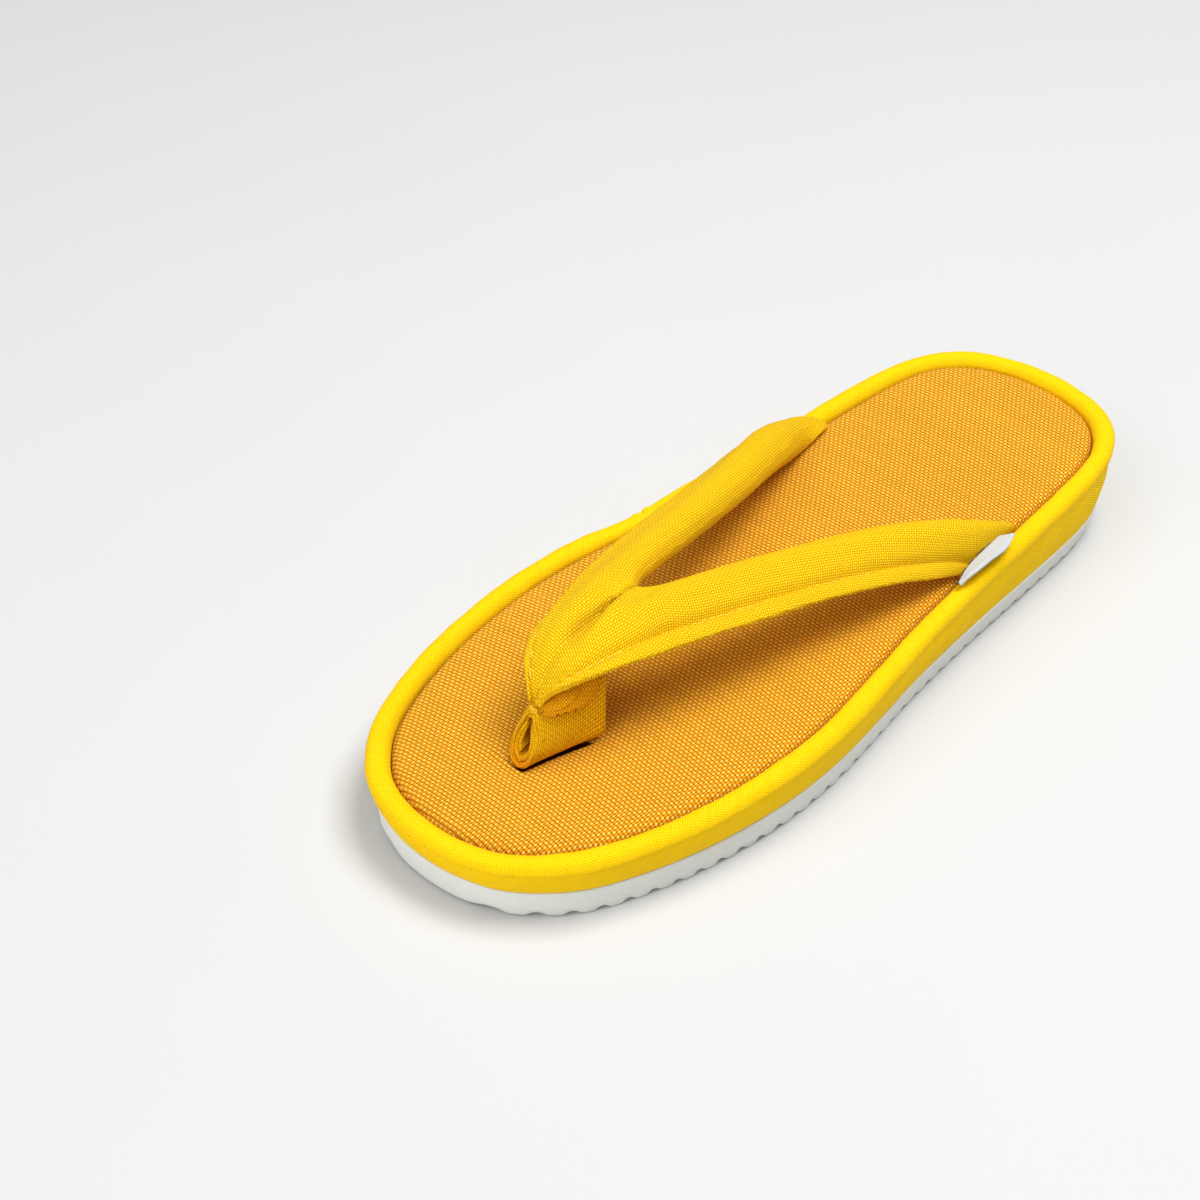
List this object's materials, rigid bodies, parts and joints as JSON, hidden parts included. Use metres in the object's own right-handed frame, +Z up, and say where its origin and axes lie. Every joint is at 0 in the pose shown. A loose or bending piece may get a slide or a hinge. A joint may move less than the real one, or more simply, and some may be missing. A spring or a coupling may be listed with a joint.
{
  "type": "zori sandal",
  "caption": "Padded canvas zori sandal, left foot: V strap over a folded toe post, crowned insole in a rolled rim, wedge midsole and ribbed foam outsole.",
  "frame": {"origin": "bottom centre of the bounding box, on the plane the sole stands on", "axes": "+Z up, -Y towards the toe, +Y towards the heel, +X towards the outer side of the left foot"},
  "size_m": [0.1042, 0.25, 0.051],
  "materials": {
    "sole_foam": "matte pale grey EVA foam",
    "rim_canvas": "yellow cotton canvas over foam",
    "footbed_canvas": "coarse ochre cotton canvas",
    "strap_canvas": "yellow cotton canvas, padded and topstitched",
    "post_canvas": "yellow cotton canvas, folded",
    "tape": "blank white woven tape"
  },
  "bodies": {
    "root": {"outsole": "sole_foam", "midsole": "rim_canvas", "insole": "footbed_canvas", "strap": "strap_canvas", "toe_post": "post_canvas", "side_tab": "tape"}
  },
  "joints": []
}
